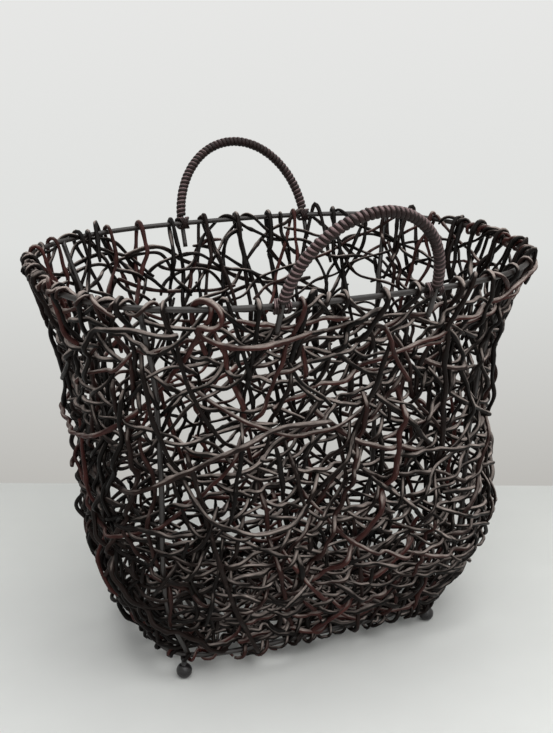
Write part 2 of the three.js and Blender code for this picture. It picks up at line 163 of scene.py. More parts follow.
# The vine that curls over the front rim and sweeps off to the right: metres along the rim, up and out
CURL_PLACE = 0.651
CURL_RADIUS = 0.0024
CURL_TONE = 0.93
CURL_ROUTE = (
    (-0.004, -0.050, 0.000),
    (-0.010, -0.030, -0.005),
    (-0.013, -0.013, -0.006),
    (-0.011, 0.000, -0.005),
    (-0.005, 0.0075, -0.002),
    (0.004, 0.0075, 0.002),
    (0.010, 0.001, 0.006),
    (0.009, -0.008, 0.009),
    (0.001, -0.012, 0.009),
    (-0.007, -0.012, 0.006),
    (-0.008, -0.018, 0.007),
    (0.001, -0.024, 0.010),
    (0.016, -0.030, 0.011),
    (0.040, -0.033, 0.009),
    (0.070, -0.028, 0.006),
    (0.095, -0.020, 0.003),
)

# Vines that cross the base and climb the wall
BASE_VINES = 62
BASE_LENGTHS = (0.2, 0.46)
BASE_SPREAD = (0.9, 0.8)
BASE_SAG = (-0.003, 0.001)
BASE_CLIMB = 0.18
BASE_SMOOTHINGS = 6
BASE_SMOOTHING = 0.25

# Vines of the wall: count, lowest and highest height, lengths, slant and radii of each kind
WALL_VINES = {
    "upper_strand": (58, 0.06, 0.368, (0.3, 0.7), 1.5, THIN),
    "middle_strand": (10, 0.05, 0.27, (0.3, 0.7), 1.4, THIN),
    "lower_strand": (56, 0.0, 0.15, (0.1, 0.26), 1.5, MEDIUM),
}
TOP_SHARES = (0.9, 1.0)
BUNDLE = 12

# The outermost vines: how many, and how they lie
SWEEPS = 58
SWEEP_SLANT = (0.2, 1.25)
SWEEP_RISING_SHARE = 0.35
SWEEP_CURVE = (1.0, 6.0)
SWEEP_BEND = 7.0
SWEEP_HEIGHTS = (0.02, 0.35)
SWEEP_LENGTHS = (0.08, 0.25)
SWEEP_LIFT = (0.003, 0.008)
TUCK = 0.004
TUCK_POWER = 6

# Even cover: cells of the wall, cost of lying parallel, and walks tried for each vine
ROUND_CELLS = 216
HEIGHT_CELLS = 62
PARALLEL_COST = 1.0
TRIES = 7

# The tails that continue the hooked ends of the solids' vines
TAIL_LENGTHS = (0.04, 0.12)
TAIL_JOIN = 0.02
TAIL_LOOK = 6
HOOKED_HEIGHT = 0.32

# Depth of the weave, and how far it leans out at the low right end
DEPTH = 0.0034
DEPTH_WAVE = (9, 22)
SOLID_DEPTH = 0.55
LOW_ZONE = 0.30
LOW_DEPTH = 0.7
LEAN = 0.021
LEAN_HEIGHT = 0.115
LEAN_RANGE = 0.085
OUT_LIMIT_HEIGHTS = (0.02, 0.16)
OUT_LIMIT = (0.002, 0.007)
LOOSE_END_SHARE = 0.12
LOOSE_END = 0.008
LOOSE_RUN = 0.02
FREE_END_SHARE = 0.03

# The pushes that keep vines apart
PUSHES = 180
SEARCH_TURNS = 6
SEARCH_SLACK = 0.0012
CELL_MIDDLE = 4096
CELL_BITS = 14
OWN_POINTS = 8
SHUFFLE = 7919
LEVEL_SHARE = 0.05
STRESS = 0.5
SIDEWAYS = 0.12
OVERSHOOT = 1.2
STIFFNESS = 0.25
SMOOTHINGS = 8
HOLD = 0.995

# Stems: lumps, an oval section, knots and tapered ends
LUMPS = 0.11
LUMP_WAVE = 16
OVAL = 0.09
OVAL_WAVE = 24
KNOT_GAP = (0.03, 0.1)
KNOT_SIZE = (0.12, 0.5)
KNOT_RUN = 0.0028
END_SHARE = 0.72
END_RUN = 0.02
BARK_SHIFT = 50.0

# The worn colour, with a painted highlight, is palest on the sides that face up and out of the basket;
# painted shade makes it weaker towards the base and weakest at the low left end
TOP_WEAR_AND_HIGHLIGHT = 0.85
OUTSIDE_WEAR_AND_HIGHLIGHT = 0.3
# Painted shade: the worn colour and highlight fade towards the base and grow at the waist
SHADE_SCALE_AT_BASE = 0.8
SHADE_SCALE_AT_WAIST = 1.12
# Painted shade at the low left end
SHADED_LEFT_END = (0.45, 0.95)
LEFT_END_SHADE = 0.42

# Colours, and heights of the relief
VINE_COLOURS = (
    (0.0, (0.0024, 0.0016, 0.0013)),
    (0.5, (0.0050, 0.0032, 0.0027)),
    (0.74, (0.011, 0.0068, 0.0058)),
    (1.0, (0.055, 0.019, 0.017)),
)
# Pale worn bark, which also serves as a painted highlight on the sides that face up and out
WORN_AND_HIGHLIGHT_COLOUR = (0.375, 0.325, 0.3)
IRON_COLOURS = ((0.3, (0.007, 0.0045, 0.004)), (0.7, (0.022, 0.016, 0.014)))
FOOT_COLOURS = ((0.3, (0.006, 0.005, 0.006)), (0.7, (0.016, 0.013, 0.014)))
CANE_COLOURS = ((0.3, (0.007, 0.0036, 0.0032)), (0.7, (0.024, 0.0115, 0.0105)))
# Pale worn cane, which also serves as a painted highlight on the sides that face up and out
CANE_WORN_AND_HIGHLIGHT = (0.34, 0.235, 0.235)
NOISE_ROUGHNESS = 0.55
STREAK_RELIEF = 0.0006
PATCH_RELIEF = 0.0016
GRAIN_RELIEF = 0.0004
FOOT_RELIEF = 0.0006

# Floor: its colours by distance beyond the middle plus FLOOR_SHIFT, darkened by painted shade towards the
# junction, and the tones beyond the junction, with painted shade darkening them towards the floor
FLOOR_HALF = 80.0
FLOOR_HEADING = (0.396, 0.918, 0.0)
FLOOR_SHIFT = 0.5
FLOOR_SHADED_COLOURS = (
    (0.30, (0.82, 0.83, 0.80)),
    (0.58, (0.78, 0.79, 0.755)),
    (0.68, (0.72, 0.73, 0.695)),
    (0.80, (0.65, 0.66, 0.63)),
)
JUNCTION = 0.307
JUNCTION_SOFTNESS = 0.004
# Painted shade: the wall's tones darken towards the floor
WALL_SHADED_COLOURS = ((0.0, (0.80, 0.80, 0.79)), (0.5, (0.74, 0.75, 0.735)), (1.0, (0.50, 0.49, 0.465)))
WALL_BACK = 1.065
FAR_FLOOR = (0.8, 2.0)
FAR_COLOUR = (0.62, 0.63, 0.605)

# Lamps: place, size and power. World and camera
LIGHTS = {
    "overhead": ((0.15, -0.45, 2.1), (3.4, 3.0), 56.0),
    "front_fill": ((0.1, -2.0, 1.1), (1.8, 1.2), 5.0),
}
LIGHT_TARGET = (0, 0, 0.2)
WORLD_COLOUR = (0.96, 0.97, 1.0)
WORLD_STRENGTH = 0.32
CAMERA_PLACE = (-0.4160, -0.9505, 0.6234)
CAMERA_AHEAD = (0.37498, 0.86860, -0.32392)
CAMERA_ROLL = -0.3
CAMERA_LENS = 55.64

rng = np.random.default_rng(7)
scene = bpy.context.scene
scene.view_settings.view_transform = "Standard"


# Small helpers
def unit(v):
    return v / np.maximum(np.linalg.norm(v, axis=-1, keepdims=True), TINY)


def smooth_noise(count, wave):
    """count values of smooth noise of about unit size, whose waves are about wave samples long."""
    t = np.arange(count)
    total = np.zeros(count)
    for octave in range(OCTAVES):
        length = wave / (OCTAVE_SHRINK**octave) * rng.uniform(*OCTAVE_SPREAD)
        total += OCTAVE_FADE**octave * np.sin(2 * np.pi * (t / length + rng.random()))
    return total / OCTAVE_SUM


def fading(distance, reach):
    """1 at no distance, and hardly anything beyond twice that reach."""
    return np.exp(-((distance / reach) ** 2))


def turned(first, second, angle):
    """The directions that lie at those angles from first towards second."""
    return np.cos(angle)[:, None] * first + np.sin(angle)[:, None] * second


def run_along(points):
    """How far along the line each of its points is."""
    return np.concatenate([[0], np.cumsum(np.linalg.norm(np.diff(points, axis=0), axis=1))])


def columns_at(places, run, rows):
    """The rows at those places, where run says at which places the given rows are."""
    return np.stack([np.interp(places, run, column) for column in rows.T], axis=-1)


def hermite(points, slopes, knots, gaps, t):
    """The smooth curve that has those points and slopes at the knots, at each t."""
    i = np.clip(np.searchsorted(knots, t, side="right") - 1, 0, len(gaps) - 1)
    gap = gaps[i][:, None]
    s = (t - knots[i])[:, None] / gap
    return (
        (2 * s**3 - 3 * s**2 + 1) * points[i]
        + (s**3 - 2 * s**2 + s) * gap * slopes[i]
        + (3 * s**2 - 2 * s**3) * points[i + 1]
        + (s**3 - s**2) * gap * slopes[i + 1]
    )


def resample(points, step):
    run = run_along(points)
    even = np.linspace(0, run[-1], max(3, int(round(run[-1] / step)) + 1))
    return columns_at(even, run, points)


def spline(points, step):
    """Points at even steps along a smooth curve through points."""
    gaps = np.linalg.norm(np.diff(points, axis=0), axis=1)
    knots = np.concatenate([[0], np.cumsum(gaps**0.5)])
    span = np.diff(knots)[:, None]
    rate = np.diff(points, axis=0) / span
    slopes = np.empty_like(points)
    slopes[1:-1] = (rate[:-1] * span[1:] + rate[1:] * span[:-1]) / (span[:-1] + span[1:])
    slopes[0], slopes[-1] = rate[0], rate[-1]
    t = np.linspace(0, knots[-1], max(2, int(gaps.sum() / SPLINE_GRAIN)))
    return resample(hermite(points, slopes, knots, span[:, 0], t), step)


def carried_frames(points):
    """Two directions across a line at each of its points, carried along it without twist."""
    tangents = unit(np.gradient(points, axis=0))
    sides = np.empty_like(points)
    start = np.eye(3)[np.argmin(np.abs(tangents[0]))]
    side = np.cross(tangents[0], start)
    for i, tangent in enumerate(tangents):
        side = side - tangent * (side @ tangent)
        side = side / math.sqrt(side @ side)
        sides[i] = side
    return sides, np.cross(tangents, sides)


def nodes_with(words):
    """The nodes of the solids whose names hold those words, in order."""
    return sorted(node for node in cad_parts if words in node)


def middle_of(node):
    return sum(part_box(node), Vector()) / 2


# The wall. round goes once round from 0 to 1, and rise goes up from 0 to 1
def profile_table():
    """Cross-sections at even steps up the wall, on a smooth curve through SECTIONS, and its height."""
    gaps = np.linalg.norm(np.diff(SECTIONS[:, :3], axis=0), axis=1)
    knots = run_along(SECTIONS[:, :3])
    slopes = np.gradient(SECTIONS, knots, axis=0)
    t = np.linspace(0, knots[-1], PROFILE_ROWS * PROFILE_FINENESS)
    rows = hermite(SECTIONS, slopes, knots, gaps, t)
    run = run_along(rows[:, :3])
    return columns_at(np.linspace(0, run[-1], PROFILE_ROWS), run, rows), run[-1]


PROFILE, WALL_HEIGHT = profile_table()
SHARES = np.linspace(0, 1, len(PROFILE))


def section_points(rows, angle):
    across, along = np.cos(angle), np.sin(angle)
    square = rows[..., 3]
    stretch = (np.abs(across) ** square + np.abs(along) ** square) ** (-1 / square)
    x = rows[..., 0] * across * stretch
    y = rows[..., 1] * along * stretch
    return np.stack([x, y, rows[..., 2]], axis=-1)


def angle_table():
    """At which round each angle is, those angles, and the length of the rim."""
    angle = np.linspace(0, 2 * np.pi, ANGLE_ROWS + 1)
    run = run_along(section_points(np.tile(SECTIONS[-1], (ANGLE_ROWS + 1, 1)), angle))
    return run / run[-1], angle, run[-1]


ROUND_TABLE, ANGLE_TABLE, RIM_LENGTH = angle_table()


def wall_point(round_, rise):
    round_ = np.asarray(round_, float)
    rise = np.clip(np.asarray(rise, float), 0, 1)
    angle = np.interp(np.mod(round_, 1), ROUND_TABLE, ANGLE_TABLE)
    return section_points(columns_at(rise, SHARES, PROFILE), angle)


def wall_frame(round_, rise):
    """(point, outward, along, upward) on the wall, and how many metres a unit of round is."""
    low = np.clip(rise, SLOPE_STEP, 1 - SLOPE_STEP)
    point = wall_point(round_, rise)
    climb = wall_point(round_, low + SLOPE_STEP) - wall_point(round_, low - SLOPE_STEP)
    onward = wall_point(round_ + SLOPE_STEP, rise) - wall_point(round_ - SLOPE_STEP, rise)
    climb, onward = climb / (2 * SLOPE_STEP), onward / (2 * SLOPE_STEP)
    out = unit(np.cross(onward, climb))
    along = unit(onward)
    return point, out, along, np.cross(out, along), np.linalg.norm(onward, axis=-1)


PER_ROUND = np.array([
    wall_frame(np.linspace(0, 1, ROUND_COLUMNS), np.full(ROUND_COLUMNS, share))[4]
    for share in np.linspace(0, 1, ROUND_ROWS)
])


def metres_per_round(share, round_):
    """How many metres of wall a unit of round is, at that share of the height."""
    row = int(round(share * (ROUND_ROWS - 1)))
    column = int(round((round_ % 1) * (ROUND_COLUMNS - 1)))
    return max(float(PER_ROUND[row, column]), LEAST_PER_ROUND)


def wall_place(points):
    """Rounds and heights of the wall that points lie next to."""
    rise = np.interp(points[:, 2], PROFILE[:, 2], SHARES)
    rows = columns_at(rise, SHARES, PROFILE[:, :2])
    angle = np.mod(np.arctan2(points[:, 1] / rows[:, 1], points[:, 0] / rows[:, 0]), 2 * np.pi)
    return np.interp(angle, ANGLE_TABLE, ROUND_TABLE), rise * WALL_HEIGHT


def place_on_wall(points):
    """Outward direction and nearness to the rim of points that lie near the wall or the base."""
    rounds, heights = wall_place(points)
    place, out, _, _, _ = wall_frame(rounds, heights / WALL_HEIGHT)
    below = np.linalg.norm(points[:, :2], axis=1) < np.linalg.norm(place[:, :2], axis=1) - FLOOR_EDGE
    flat = (below & (points[:, 2] < BASE[2] + FLOOR_EDGE))[:, None]
    out = np.where(flat, np.array([0.0, 0.0, -1.0]), out)
    return out, fading(np.maximum(RIM[2] - points[:, 2], 0), RIM_ZONE)


# Routes of the vines. A height runs on over the rim: up the outside, round the rim rod and down the inside
def hook_turn(radius):
    return ROD_RADIUS + radius + TOUCH


def unfold(rounds, heights, radius):
    """(points, outward, how near the rim) for places given by round and by height in metres."""
    turn = hook_turn(radius)
    over = np.clip((heights - WALL_HEIGHT) / turn, 0, np.pi)
    inside = heights > WALL_HEIGHT + np.pi * turn
    folded = np.where(inside, 2 * WALL_HEIGHT + np.pi * turn - heights, np.minimum(heights, WALL_HEIGHT))
    point, out, _, upward, _ = wall_frame(rounds, folded / WALL_HEIGHT)
    near = fading(WALL_HEIGHT - folded, RIM_ZONE)
    side = np.where(inside, -1.0, 1.0) * near
    hook = ((over > 0) & (over < np.pi))[:, None]
    away = turned(out, upward, over)
    point = point + turn * np.where(hook, away, out * side[:, None])
    return point, np.where(hook, away, out), near


def steered(heading, rightward, slope):
    """The heading, turned a little towards that slope, which climbs where it is over 0."""
    aim = slope if rightward else math.pi - slope
    return heading + EDGE_STEER * STEP * math.sin(aim - heading)


def bends(length, bend):
    """How sharply a vine of that length turns at each step."""
    return smooth_noise(max(LEAST_POINTS, int(length / STEP)), rng.uniform(*BEND_WAVE)) * bend


def walk(start, height, heading, length, bend, radius, low=0.0, high=None, hooks=False, sweep=0.0):
    """Rounds and heights of a vine that wanders over the wall at even steps, turning smoothly."""
    turning = bends(length, bend) + sweep
    top = 2 * WALL_HEIGHT + math.pi * hook_turn(radius)
    rounds, heights = [start], [height]
    for turn in turning[:-1]:
        here = heights[-1]
        folded = min(here, top - here)
        per_round = metres_per_round(min(max(folded / WALL_HEIGHT, 0), 1), rounds[-1])
        rightward = math.cos(heading) >= 0
        steep = abs(math.sin(heading)) > HOOK_STEEP
        if hooks and WALL_HEIGHT - folded < HOOK_RUN:
            aim = math.copysign(math.pi / 2, math.sin(heading))
            heading += 0 if steep else HOOK_STEER * STEP * math.sin(aim - heading)
        else:
            heading += turn * STEP
        if not hooks and here > high and math.sin(heading) > -EDGE_SLOPE:
            heading = steered(heading, rightward, -ZONE_AIM)
        if here < low + EDGE_RUN and math.sin(heading) < EDGE_SLOPE:
            heading = steered(heading, rightward, EDGE_AIM)
        if here > top - EDGE_RUN and math.sin(heading) > -EDGE_SLOPE:
            heading = steered(heading, rightward, -EDGE_AIM)
        rounds.append(rounds[-1] + STEP * math.cos(heading) / per_round)
        heights.append(min(max(here + STEP * math.sin(heading), low), top))
    return np.array(rounds), np.array(heights)


class Cover:
    """How much vine lies in each cell of the wall, and in which direction. New vines go where few are."""

    def __init__(self):
        self.count, self.cosine, self.sine = np.zeros((3, ROUND_CELLS, HEIGHT_CELLS))

    def look(self, rounds, heights):
        folded = np.minimum(heights, 2 * WALL_HEIGHT - heights) / WALL_HEIGHT
        across = np.mod(rounds * ROUND_CELLS, ROUND_CELLS).astype(int) % ROUND_CELLS
        upward = np.clip(folded * HEIGHT_CELLS, 0, HEIGHT_CELLS - 1).astype(int)
        direction = 2 * np.arctan2(np.gradient(heights), np.gradient(rounds) * RIM_LENGTH)
        return (across, upward), np.cos(direction), np.sin(direction)

    def crowding(self, rounds, heights):
        cells, cosine, sine = self.look(rounds, heights)
        parallel = self.cosine[cells] * cosine + self.sine[cells] * sine
        return float(np.mean(self.count[cells] + PARALLEL_COST * parallel))

    def add(self, rounds, heights):
        cells, cosine, sine = self.look(rounds, heights)
        for across in (-1, 0, 1):
            for upward in (-1, 0, 1):
                share = 1 / (1 + abs(across) + abs(upward))
                place = ((cells[0] + across) % ROUND_CELLS, np.clip(cells[1] + upward, 0, HEIGHT_CELLS - 1))
                np.add.at(self.count, place, share)
                np.add.at(self.cosine, place, share * cosine)
                np.add.at(self.sine, place, share * sine)


cover = Cover()


def roomiest_route(radius, wander):
    """The route that crowds the others least, out of a few walks."""
    best = min([wander() for _ in range(TRIES)], key=lambda walked: cover.crowding(*walked))
    cover.add(*best)
    return unfold(*best, radius)


def base_half(place, heading, length, bend, radius):
    """Route of a vine that crosses the base from place and climbs the wall where it meets it."""
    x, y = place
    points = []
    for turn in bends(length, bend):
        points.append((x, y, BASE[2]))
        x += STEP * math.cos(heading)
        y += STEP * math.sin(heading)
        heading += turn * STEP
        if abs(x / BASE[0]) ** BASE[3] + abs(y / BASE[1]) ** BASE[3] > 1:
            break
    route = (np.array(points), np.tile((0.0, 0.0, -1.0), (len(points), 1)), np.zeros(len(points)))
    left = length - len(points) * STEP
    if left > LEAST_POINTS * STEP:
        angle = math.atan2(y / BASE[1], x / BASE[0]) % (2 * math.pi)
        start = float(np.interp(angle, ANGLE_TABLE, ROUND_TABLE))
        _, outward, along, _, _ = wall_frame(np.array([start]), np.array([0.0]))
        going = np.array([math.cos(heading), math.sin(heading), 0.0])
        flat_out = unit(outward[0] * (1, 1, 0))
        on_wall = math.atan2(float(going @ flat_out), float(going @ along[0]))
        climbing = unfold(*walk(start, STEP, on_wall, left, bend, radius, high=BASE_CLIMB), radius)
        route = tuple(np.concatenate(pair) for pair in zip(route, climbing))
    return route


def base_route(radius, place, heading, length, bend):
    first = base_half(place, heading + math.pi, length / 2, bend, radius)
    last = base_half(place, heading, length / 2, bend, radius)
    points, out, near = (np.concatenate([a[:0:-1], b]) for a, b in zip(first, last))
    for _ in range(BASE_SMOOTHINGS):
        out[1:-1] = unit(out[:-2] + out[1:-1] + out[2:])
        points[1:-1] = points[1:-1] + BASE_SMOOTHING * (points[:-2] + points[2:] - 2 * points[1:-1])
    return points, out, near


# Centre lines of the solids' tubes, read from their rings of corners
def centre_line(node):
    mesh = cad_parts[node].data
    corners = np.array([v.co for v in mesh.vertices])
    mesh.calc_loop_triangles()
    faces = np.array([t.vertices for t in mesh.loop_triangles])
    rounded = np.round(corners, WELD_DIGITS)
    _, first, same = np.unique(rounded, axis=0, return_index=True, return_inverse=True)
    corners = corners[first]
    faces = same.ravel()[faces]
    edges = np.unique(np.sort(np.concatenate([faces[:, :2], faces[:, 1:], faces[:, ::2]]), axis=1), axis=0)
    lengths = np.linalg.norm(corners[edges[:, 0]] - corners[edges[:, 1]], axis=1)
    ring = np.arange(len(corners))
    short = edges[lengths < RING_EDGE]
    for _ in range(len(corners)):
        least = np.minimum(ring[short[:, 0]], ring[short[:, 1]])
        before = ring.copy()
        np.minimum.at(ring, short[:, 0], least)
        np.minimum.at(ring, short[:, 1], least)
        ring = ring[ring]
        if (ring == before).all():
            break
    names = np.unique(ring)
    centres = {n: corners[ring == n].mean(axis=0) for n in names}
    links = {n: set() for n in names}
    for a, b in edges[lengths >= RING_EDGE]:
        if ring[a] != ring[b]:
            links[ring[a]].add(ring[b])
            links[ring[b]].add(ring[a])
    here = next(n for n in names if len(links[n]) == 1)
    line, last = [], None
    while here is not None:
        line.append(centres[here])
        onward = [n for n in links[here] if n != last]
        last, here = here, onward[0] if onward and len(line) < len(names) else None
    return np.array(line)


# Lines of the basket: the vines, and the rods that they lie against
class Vine:
    """A vine's route, which is its points, outward directions and nearness to the rim, and its weave."""

    def __init__(self, name, route, radius, node=None, loose=1.0, lift=0.0, solid=None):
        self.name = name
        self.points, self.out, self.near = route
        self.radius = radius
        self.tone = float(rng.random())
        self.node = node
        self.loose = loose
        self.lift = lift
        self.solid = solid or (len(self.points), 0)


class Rod:
    """A rod, which no vine moves."""

    def __init__(self, line, radius):
        self.points = resample(line, STEP)
        self.radius = radius
        self.out = np.zeros((len(self.points), 3))
        self.near = self.room = np.zeros(len(self.points))


def tail_route(points, radius):
    """Where a vine that ends inside the rim goes on, down the inside of the wall."""
    rounds, heights = wall_place(points[-TAIL_LOOK:])
    inside = 2 * WALL_HEIGHT + math.pi * hook_turn(radius) - heights
    ahead = (rounds[-1] - rounds[0] + 0.5) % 1 - 0.5
    heading = math.atan2(inside[-1] - inside[0], ahead * RIM_LENGTH)
    length, bend = rng.uniform(*TAIL_LENGTHS), rng.uniform(*BEND)
    route = unfold(*walk(rounds[-1], inside[-1], heading, length, bend, radius, hooks=True), radius)
    fade = fading(np.arange(len(route[0])) * STEP, TAIL_JOIN)[:, None]
    return (route[0] + fade * (points[-1] - route[0][0]), *route[1:])


def solid_vines():
    """The vines that the solids have, with tails added to the ends that hook over the rim."""
    for node in nodes_with("_vine_"):
        points = spline(centre_line(node), STEP)
        radius = rng.uniform(*THICK)
        route = (points, *place_on_wall(points))
        added = []
        for _ in range(2):
            before = len(route[0])
            if route[0][-1][2] > HOOKED_HEIGHT and "arc" in node:
                tail = tail_route(route[0], radius)
                route = tuple(np.concatenate([part, more[1:]]) for part, more in zip(route, tail))
            added.append(len(route[0]) - before)
            route = tuple(part[::-1] for part in route)
        cover.add(*wall_place(route[0]))
        solid = (added[1], added[1] + len(points))
        yield Vine(node, route, radius, node=node, loose=SOLID_DEPTH, solid=solid)


def rim_vines():
    for i in range(RIM_VINES):
        radius = rng.uniform(*THIN)
        over = WALL_HEIGHT + math.pi * hook_turn(radius)
        route = roomiest_route(radius, lambda: walk(
            start=(i + rng.uniform(*RIM_STARTS)) / RIM_VINES,
            height=over + rng.uniform(*RIM_TAILS),
            heading=-math.pi / 2 + rng.uniform(-RIM_SLANT, RIM_SLANT),
            length=rng.uniform(*RIM_LENGTHS),
            bend=rng.uniform(*BEND),
            radius=radius,
            hooks=True,
        ))
        yield Vine(f"rim_strand_{i + 1}", route, radius)


def wraps(kind, middles, rise):
    """Short vines wound unevenly round a ring of the frame, each about one of the given places round it."""
    for i, middle in enumerate(middles):
        radius = rng.uniform(*THIN)
        length = rng.uniform(*WRAP_LENGTHS)
        turns = length / rng.uniform(*WRAP_PITCH)
        count = int(turns * 2 * math.pi * hook_turn(radius) * WRAP_STRETCH / STEP)
        rounds = middle + np.linspace(-0.5, 0.5, count) * length / RIM_LENGTH
        place, out, _, upward, _ = wall_frame(rounds, np.full(count, rise))
        angle = rng.uniform(0, 2 * np.pi) + np.linspace(0, 2 * np.pi * turns, count)
        angle += WRAP_WAVER * smooth_noise(count, WAVER_WAVE)
        away = turned(out, upward, angle)
        loose = WRAP_LOOSENESS * (1 + smooth_noise(count, LOOSENESS_WAVE))
        points = place + (hook_turn(radius) + loose)[:, None] * away
        yield Vine(f"{kind}_{i + 1}", (points, away, np.ones(count)), radius, loose=0.0)


def rim_wraps():
    """Wraps round the rim, most of them at its left end and the rest at its right end."""
    ends = [0.5 if i % 3 else 0.0 for i in range(RIM_WRAPS)]
    return wraps("rim_wrap", [end + rng.normal() * WRAP_SPREAD for end in ends], 1.0)


def base_wraps():
    return wraps("base_wrap", [(i + rng.random()) / BASE_WRAPS for i in range(BASE_WRAPS)], 0.0)


def over_rim(rounds, rise, side):
    """Points beside the wall where rise, in metres from the rim, is under 0, and elsewhere above it."""
    place, out, _, upward, _ = wall_frame(rounds, 1 + np.minimum(rise, 0) / WALL_HEIGHT)
    return spline(place + out * side[:, None] + upward * np.maximum(rise, 0)[:, None], STEP)


def rim_loops():
    """Short vines that rise outside the rim, arch over it and go down inside."""
    t = np.linspace(-1, 1, LOOP_POINTS)
    for i in range(RIM_LOOPS):
        radius = rng.uniform(*MEDIUM)
        wide = rng.uniform(*LOOP_WIDTHS) * rng.choice([-1, 1])
        high = hook_turn(radius) + rng.uniform(*LOOP_RISES)
        drop = rng.uniform(*LOOP_DROPS)
        rounds = (i + rng.uniform(0, 1)) / RIM_LOOPS + wide * (t + LOOP_FLARE * t**3) / RIM_LENGTH
        rise = high - (high + drop) * np.abs(t) ** LOOP_POWER
        points = over_rim(rounds, rise, -hook_turn(radius) * np.sin(np.pi * t / 2))
        near = fading(np.minimum(rise, 0), RIM_ZONE)
        near = np.interp(np.linspace(0, 1, len(points)), np.linspace(0, 1, LOOP_POINTS), near)
        yield Vine(f"rim_loop_{i + 1}", (points, place_on_wall(points)[0], near), radius)


def rim_curl():
    along, up, outward = np.array(CURL_ROUTE).T
    points = over_rim(CURL_PLACE + along / RIM_LENGTH, up, outward)
    vine = Vine("rim_curl_1", (points, *place_on_wall(points)), CURL_RADIUS, loose=0.0)
    vine.tone = CURL_TONE
    yield vine


def wall_vines(kind, count, low, high, lengths, slant, thickness):
    for i in range(count):
        radius = rng.uniform(*thickness)
        top = high * rng.uniform(*TOP_SHARES)
        route = roomiest_route(radius, lambda: walk(
            start=rng.random(),
            height=rng.uniform(low, top),
            heading=rng.choice([0, math.pi]) + rng.uniform(-slant, slant),
            length=rng.uniform(*lengths),
            bend=rng.uniform(*BEND),
            radius=radius,
            low=low,
            high=top,
        ))
        yield Vine(f"{kind}_{i + 1}", route, radius)


def outer_sweeps():
    """Thicker vines that lie outside the rest in long slanting arcs, with both ends tucked in."""
    for i in range(SWEEPS):
        radius = rng.uniform(*THICK)
        route = roomiest_route(radius, lambda: walk(
            start=rng.random(),
            height=rng.uniform(*SWEEP_HEIGHTS),
            heading=rng.uniform(*SWEEP_SLANT) * (1 if rng.random() < SWEEP_RISING_SHARE else -1),
            length=rng.uniform(*SWEEP_LENGTHS),
            bend=SWEEP_BEND,
            radius=radius,
            high=SWEEP_HEIGHTS[1],
            sweep=rng.uniform(*SWEEP_CURVE),
        ))
        yield Vine(f"outer_sweep_{i + 1}", route, radius, lift=rng.uniform(*SWEEP_LIFT))


def base_vines():
    for i in range(BASE_VINES):
        radius = rng.uniform(*THIN)
        place = [rng.uniform(-spread, spread) * half for spread, half in zip(BASE_SPREAD, BASE)]
        heading = rng.uniform(0, 2 * math.pi)
        route = base_route(radius, place, heading, rng.uniform(*BASE_LENGTHS), rng.uniform(*BEND))
        yield Vine(f"base_strand_{i + 1}", route, radius, lift=rng.uniform(*BASE_SAG))


# Weaving: every vine starts with a wavy depth in the wall, and then cutting vines are pushed apart
def lean_out(points):
    """How far the wall leans out at its low right end."""
    end = np.clip(points[:, 0] / BELLY[0], 0, 1)
    return LEAN * end * fading(points[:, 2] - LEAN_HEIGHT, LEAN_RANGE)


def set_depths(vines):
    for vine in vines:
        count = len(vine.points)
        depth = smooth_noise(count, rng.uniform(*DEPTH_WAVE))
        low = np.clip((LOW_ZONE - vine.points[:, 2]) / LOW_ZONE, 0, 1)
        size = DEPTH * (1 + LOW_DEPTH * low) * (1 - vine.near) * vine.loose
        lean = 0.0 if vine.node else lean_out(vine.points)
        tucked = np.linspace(-1, 1, count) ** TUCK_POWER
        lift = (vine.lift * (1 - tucked) - TUCK * tucked) * (1 - vine.near) if vine.lift else 0.0
        limit = np.interp(vine.points[:, 2], OUT_LIMIT_HEIGHTS, OUT_LIMIT) + lift + lean
        offset = np.minimum(depth * size + lift + lean, limit)
        vine.room = limit - offset
        vine.points = vine.points + vine.out * offset[:, None]
        if vine.loose and rng.random() < LOOSE_END_SHARE:
            lift = LOOSE_END * fading(np.arange(count) * STEP, LOOSE_RUN) * (1 - vine.near)
            vine.points = vine.points + vine.out * lift[:, None]


def close_pairs(points, reach):
    """Which points lie within reach of each other, found by sorting them into cells."""
    cells = np.floor(points / reach).astype(np.int64) + CELL_MIDDLE
    strides = np.array([1, 1 << CELL_BITS, 1 << 2 * CELL_BITS])
    keys = cells @ strides
    order = np.argsort(keys, kind="stable")
    ranked = keys[order]
    firsts, seconds = [], []
    around = [(x, y, z) for x in (-1, 0, 1) for y in (-1, 0, 1) for z in (-1, 0, 1)]
    for move in around:
        if move < (0, 0, 0):
            continue
        wanted = keys + np.array(move) @ strides
        low = np.searchsorted(ranked, wanted, "left")
        count = np.searchsorted(ranked, wanted, "right") - low
        i = np.repeat(np.arange(len(points)), count)
        within = np.arange(count.sum()) - np.repeat(np.cumsum(count) - count, count)
        j = order[within + np.repeat(low, count)]
        keep = (i < j) if move == (0, 0, 0) else slice(None)
        firsts.append(i[keep])
        seconds.append(j[keep])
    i, j = np.concatenate(firsts), np.concatenate(seconds)
    near = ((points[i] - points[j]) ** 2).sum(axis=1) < reach**2
    return i[near], j[near]


